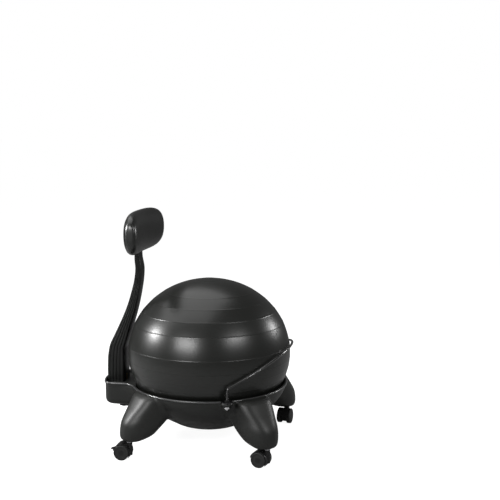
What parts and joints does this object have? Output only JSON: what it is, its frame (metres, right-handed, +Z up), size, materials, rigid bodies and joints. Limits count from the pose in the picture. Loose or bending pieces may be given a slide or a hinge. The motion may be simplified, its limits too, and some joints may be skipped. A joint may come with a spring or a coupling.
{
  "type": "balance ball chair",
  "caption": "Balance ball chair: inflated ball in a moulded bowl base on hooded twin-wheel casters, with a retaining bar and a curved column carrying a back pad.",
  "frame": {"origin": "on the floor, straight under the ball's centre", "axes": "+Z up, -Y the way the sitter faces, -X the sitter's right-hand side"},
  "size_m": [0.5593, 0.6482, 0.787],
  "materials": {
    "base_plastic": "satin black moulded plastic",
    "ball_vinyl": "satin gloss black vinyl",
    "pad_gloss": "glossy black moulded plastic",
    "black_steel": "black painted steel",
    "zinc_steel": "zinc plated steel",
    "bright_chrome": "bright chrome plate",
    "brass_insert": "turned brass",
    "grip_plastic": "black plastic",
    "plug_plastic": "black plastic",
    "wheel_nylon": "dark grey nylon",
    "hood_plastic": "black nylon"
  },
  "bodies": {
    "chair_frame": {"base_shell": "base_plastic", "stem_sleeves": "zinc_steel", "caster_stems": "zinc_steel", "grip_rings": "zinc_steel", "retaining_bar": "black_steel", "bar_washers": "zinc_steel", "bar_collars": "zinc_steel", "cap_nuts": "bright_chrome", "column": "base_plastic", "column_insert": "brass_insert", "knob_washer": "zinc_steel", "pad_front_shell": "pad_gloss", "pad_rear_shell": "pad_gloss", "pad_screws": "black_steel", "pad_bolts": "zinc_steel"},
    "ball": {"ball_skin": "ball_vinyl"},
    "plug": {"valve_plug": "plug_plastic"},
    "clamp_knob": {"knob": "grip_plastic", "knob_stud": "zinc_steel"},
    "right_rear_fork": {"right_rear_hood": "hood_plastic", "right_rear_axle": "zinc_steel", "right_rear_lever_pin": "zinc_steel"},
    "right_rear_roller_a": {"right_rear_wheel_a": "wheel_nylon", "right_rear_cap_a": "grip_plastic"},
    "right_rear_roller_b": {"right_rear_wheel_b": "wheel_nylon", "right_rear_cap_b": "grip_plastic"},
    "right_rear_brake": {"right_rear_lever": "hood_plastic"},
    "right_front_fork": {"right_front_hood": "hood_plastic", "right_front_axle": "zinc_steel"},
    "right_front_roller_a": {"right_front_wheel_a": "wheel_nylon", "right_front_cap_a": "grip_plastic"},
    "right_front_roller_b": {"right_front_wheel_b": "wheel_nylon", "right_front_cap_b": "grip_plastic"},
    "left_front_fork": {"left_front_hood": "hood_plastic", "left_front_axle": "zinc_steel"},
    "left_front_roller_a": {"left_front_wheel_a": "wheel_nylon", "left_front_cap_a": "grip_plastic"},
    "left_front_roller_b": {"left_front_wheel_b": "wheel_nylon", "left_front_cap_b": "grip_plastic"},
    "left_rear_fork": {"left_rear_hood": "hood_plastic", "left_rear_axle": "zinc_steel", "left_rear_lever_pin": "zinc_steel"},
    "left_rear_roller_a": {"left_rear_wheel_a": "wheel_nylon", "left_rear_cap_a": "grip_plastic"},
    "left_rear_roller_b": {"left_rear_wheel_b": "wheel_nylon", "left_rear_cap_b": "grip_plastic"},
    "left_rear_brake": {"left_rear_lever": "hood_plastic"}
  },
  "joints": [
    {"name": "ball_spin", "type": "hinge", "parent": "chair_frame", "child": "ball", "pos_m": [0, 0, 0.309], "axis": [0, 0, 1], "continuous": true},
    {"name": "plug_pull", "type": "slide", "parent": "ball", "child": "plug", "axis": [0.6113, 0.6113, 0.5027], "range_m": [0, 0.016]},
    {"name": "knob_turn", "type": "hinge", "parent": "chair_frame", "child": "clamp_knob", "pos_m": [0, 0.3, 0.115], "axis": [0, 0, 1], "continuous": true},
    {"name": "right_rear_swivel", "type": "hinge", "parent": "chair_frame", "child": "right_rear_fork", "pos_m": [-0.24, 0.215, 0.05], "axis": [0, 0, 1], "continuous": true},
    {"name": "right_rear_roll_a", "type": "hinge", "parent": "right_rear_fork", "child": "right_rear_roller_a", "pos_m": [-0.24, 0.237, 0.025], "axis": [-1, 0, 0], "continuous": true},
    {"name": "right_rear_roll_b", "type": "hinge", "parent": "right_rear_fork", "child": "right_rear_roller_b", "pos_m": [-0.24, 0.237, 0.025], "axis": [-1, 0, 0], "continuous": true},
    {"name": "right_rear_brake_press", "type": "hinge", "parent": "right_rear_fork", "child": "right_rear_brake", "pos_m": [-0.24, 0.249, 0.039], "axis": [-1, 0, 0], "range_deg": [0, 14]},
    {"name": "right_front_swivel", "type": "hinge", "parent": "chair_frame", "child": "right_front_fork", "pos_m": [-0.24, -0.235, 0.05], "axis": [0, 0, 1], "continuous": true},
    {"name": "right_front_roll_a", "type": "hinge", "parent": "right_front_fork", "child": "right_front_roller_a", "pos_m": [-0.23431, -0.21375, 0.025], "axis": [-0.9659, 0.2588, 0], "continuous": true},
    {"name": "right_front_roll_b", "type": "hinge", "parent": "right_front_fork", "child": "right_front_roller_b", "pos_m": [-0.23431, -0.21375, 0.025], "axis": [-0.9659, 0.2588, 0], "continuous": true},
    {"name": "left_front_swivel", "type": "hinge", "parent": "chair_frame", "child": "left_front_fork", "pos_m": [0.24, -0.235, 0.05], "axis": [0, 0, 1], "continuous": true},
    {"name": "left_front_roll_a", "type": "hinge", "parent": "left_front_fork", "child": "left_front_roller_a", "pos_m": [0.21833, -0.23118, 0.025], "axis": [-0.1736, -0.9848, 0], "continuous": true},
    {"name": "left_front_roll_b", "type": "hinge", "parent": "left_front_fork", "child": "left_front_roller_b", "pos_m": [0.21833, -0.23118, 0.025], "axis": [-0.1736, -0.9848, 0], "continuous": true},
    {"name": "left_rear_swivel", "type": "hinge", "parent": "chair_frame", "child": "left_rear_fork", "pos_m": [0.24, 0.215, 0.05], "axis": [0, 0, 1], "continuous": true},
    {"name": "left_rear_roll_a", "type": "hinge", "parent": "left_rear_fork", "child": "left_rear_roller_a", "pos_m": [0.25033, 0.23442, 0.025], "axis": [-0.8829, 0.4695, 0], "continuous": true},
    {"name": "left_rear_roll_b", "type": "hinge", "parent": "left_rear_fork", "child": "left_rear_roller_b", "pos_m": [0.25033, 0.23442, 0.025], "axis": [-0.8829, 0.4695, 0], "continuous": true},
    {"name": "left_rear_brake_press", "type": "hinge", "parent": "left_rear_fork", "child": "left_rear_brake", "pos_m": [0.25596, 0.24502, 0.039], "axis": [-0.8829, 0.4695, 0], "range_deg": [0, 14]}
  ]
}
